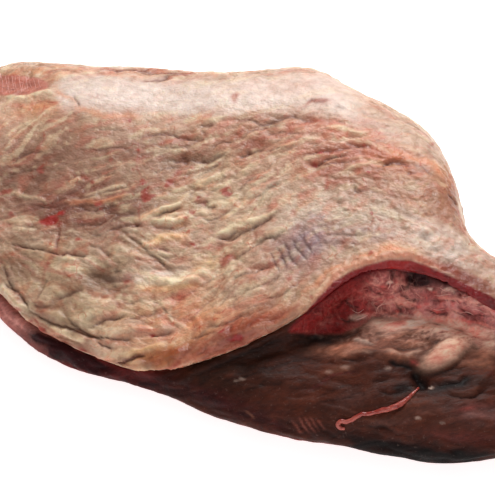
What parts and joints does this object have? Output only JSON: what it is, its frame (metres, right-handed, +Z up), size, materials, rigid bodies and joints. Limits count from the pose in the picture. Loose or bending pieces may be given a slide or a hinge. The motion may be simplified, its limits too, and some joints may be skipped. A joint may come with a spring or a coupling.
{
  "type": "raw beef brisket",
  "caption": "Whole raw beef brisket, untrimmed: lean muscle with a wrinkled fat cap on top and a cut face under the cap's lip.",
  "frame": {"origin": "middle of the flat face that the brisket rests on, under the middle of its box", "axes": "+X along the brisket to the end where the cut face shows, +Y to the thick far side, +Z up through the fat cap"},
  "size_m": [0.5444, 0.2988, 0.0921],
  "materials": {
    "fat": "moist raw fat, satin",
    "lean": "moist raw meat, satin",
    "vein": "wet, gloss"
  },
  "bodies": {
    "root": {"fat_cap": "fat", "lean_meat": "lean", "vein": "vein"}
  },
  "joints": []
}
